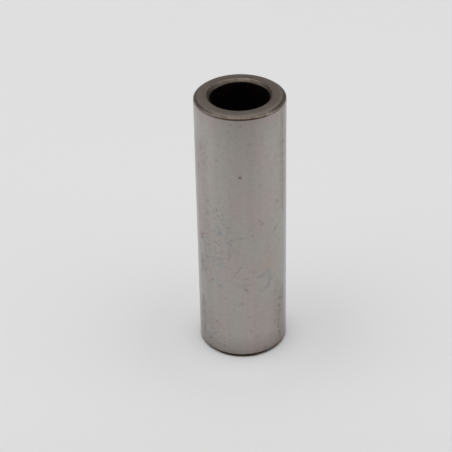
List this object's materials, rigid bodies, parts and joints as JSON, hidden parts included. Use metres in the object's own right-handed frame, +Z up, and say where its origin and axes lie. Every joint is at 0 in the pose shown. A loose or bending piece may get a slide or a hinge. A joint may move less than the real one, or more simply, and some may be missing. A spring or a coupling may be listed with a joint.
{
  "type": "gudgeon pin",
  "caption": "Hollow ground steel gudgeon pin with flat end faces and chamfered outer and bore edges; links a piston to its connecting rod.",
  "frame": {"origin": "centre of the lower end face, on the pin's axis, in the plane that it stands on", "axes": "+Z up along the pin's axis, towards the upper end face; +X and +Y are across the pin, which is round, so either way across is the same"},
  "size_m": [0.022, 0.022, 0.0695],
  "materials": {
    "ground_steel": "fine ground satin outside, darker turned end faces and chamfers, dark oiled bore, a few small rust spots and dried film marks"
  },
  "bodies": {
    "root": {"gudgeon_pin": "ground_steel"}
  },
  "joints": []
}
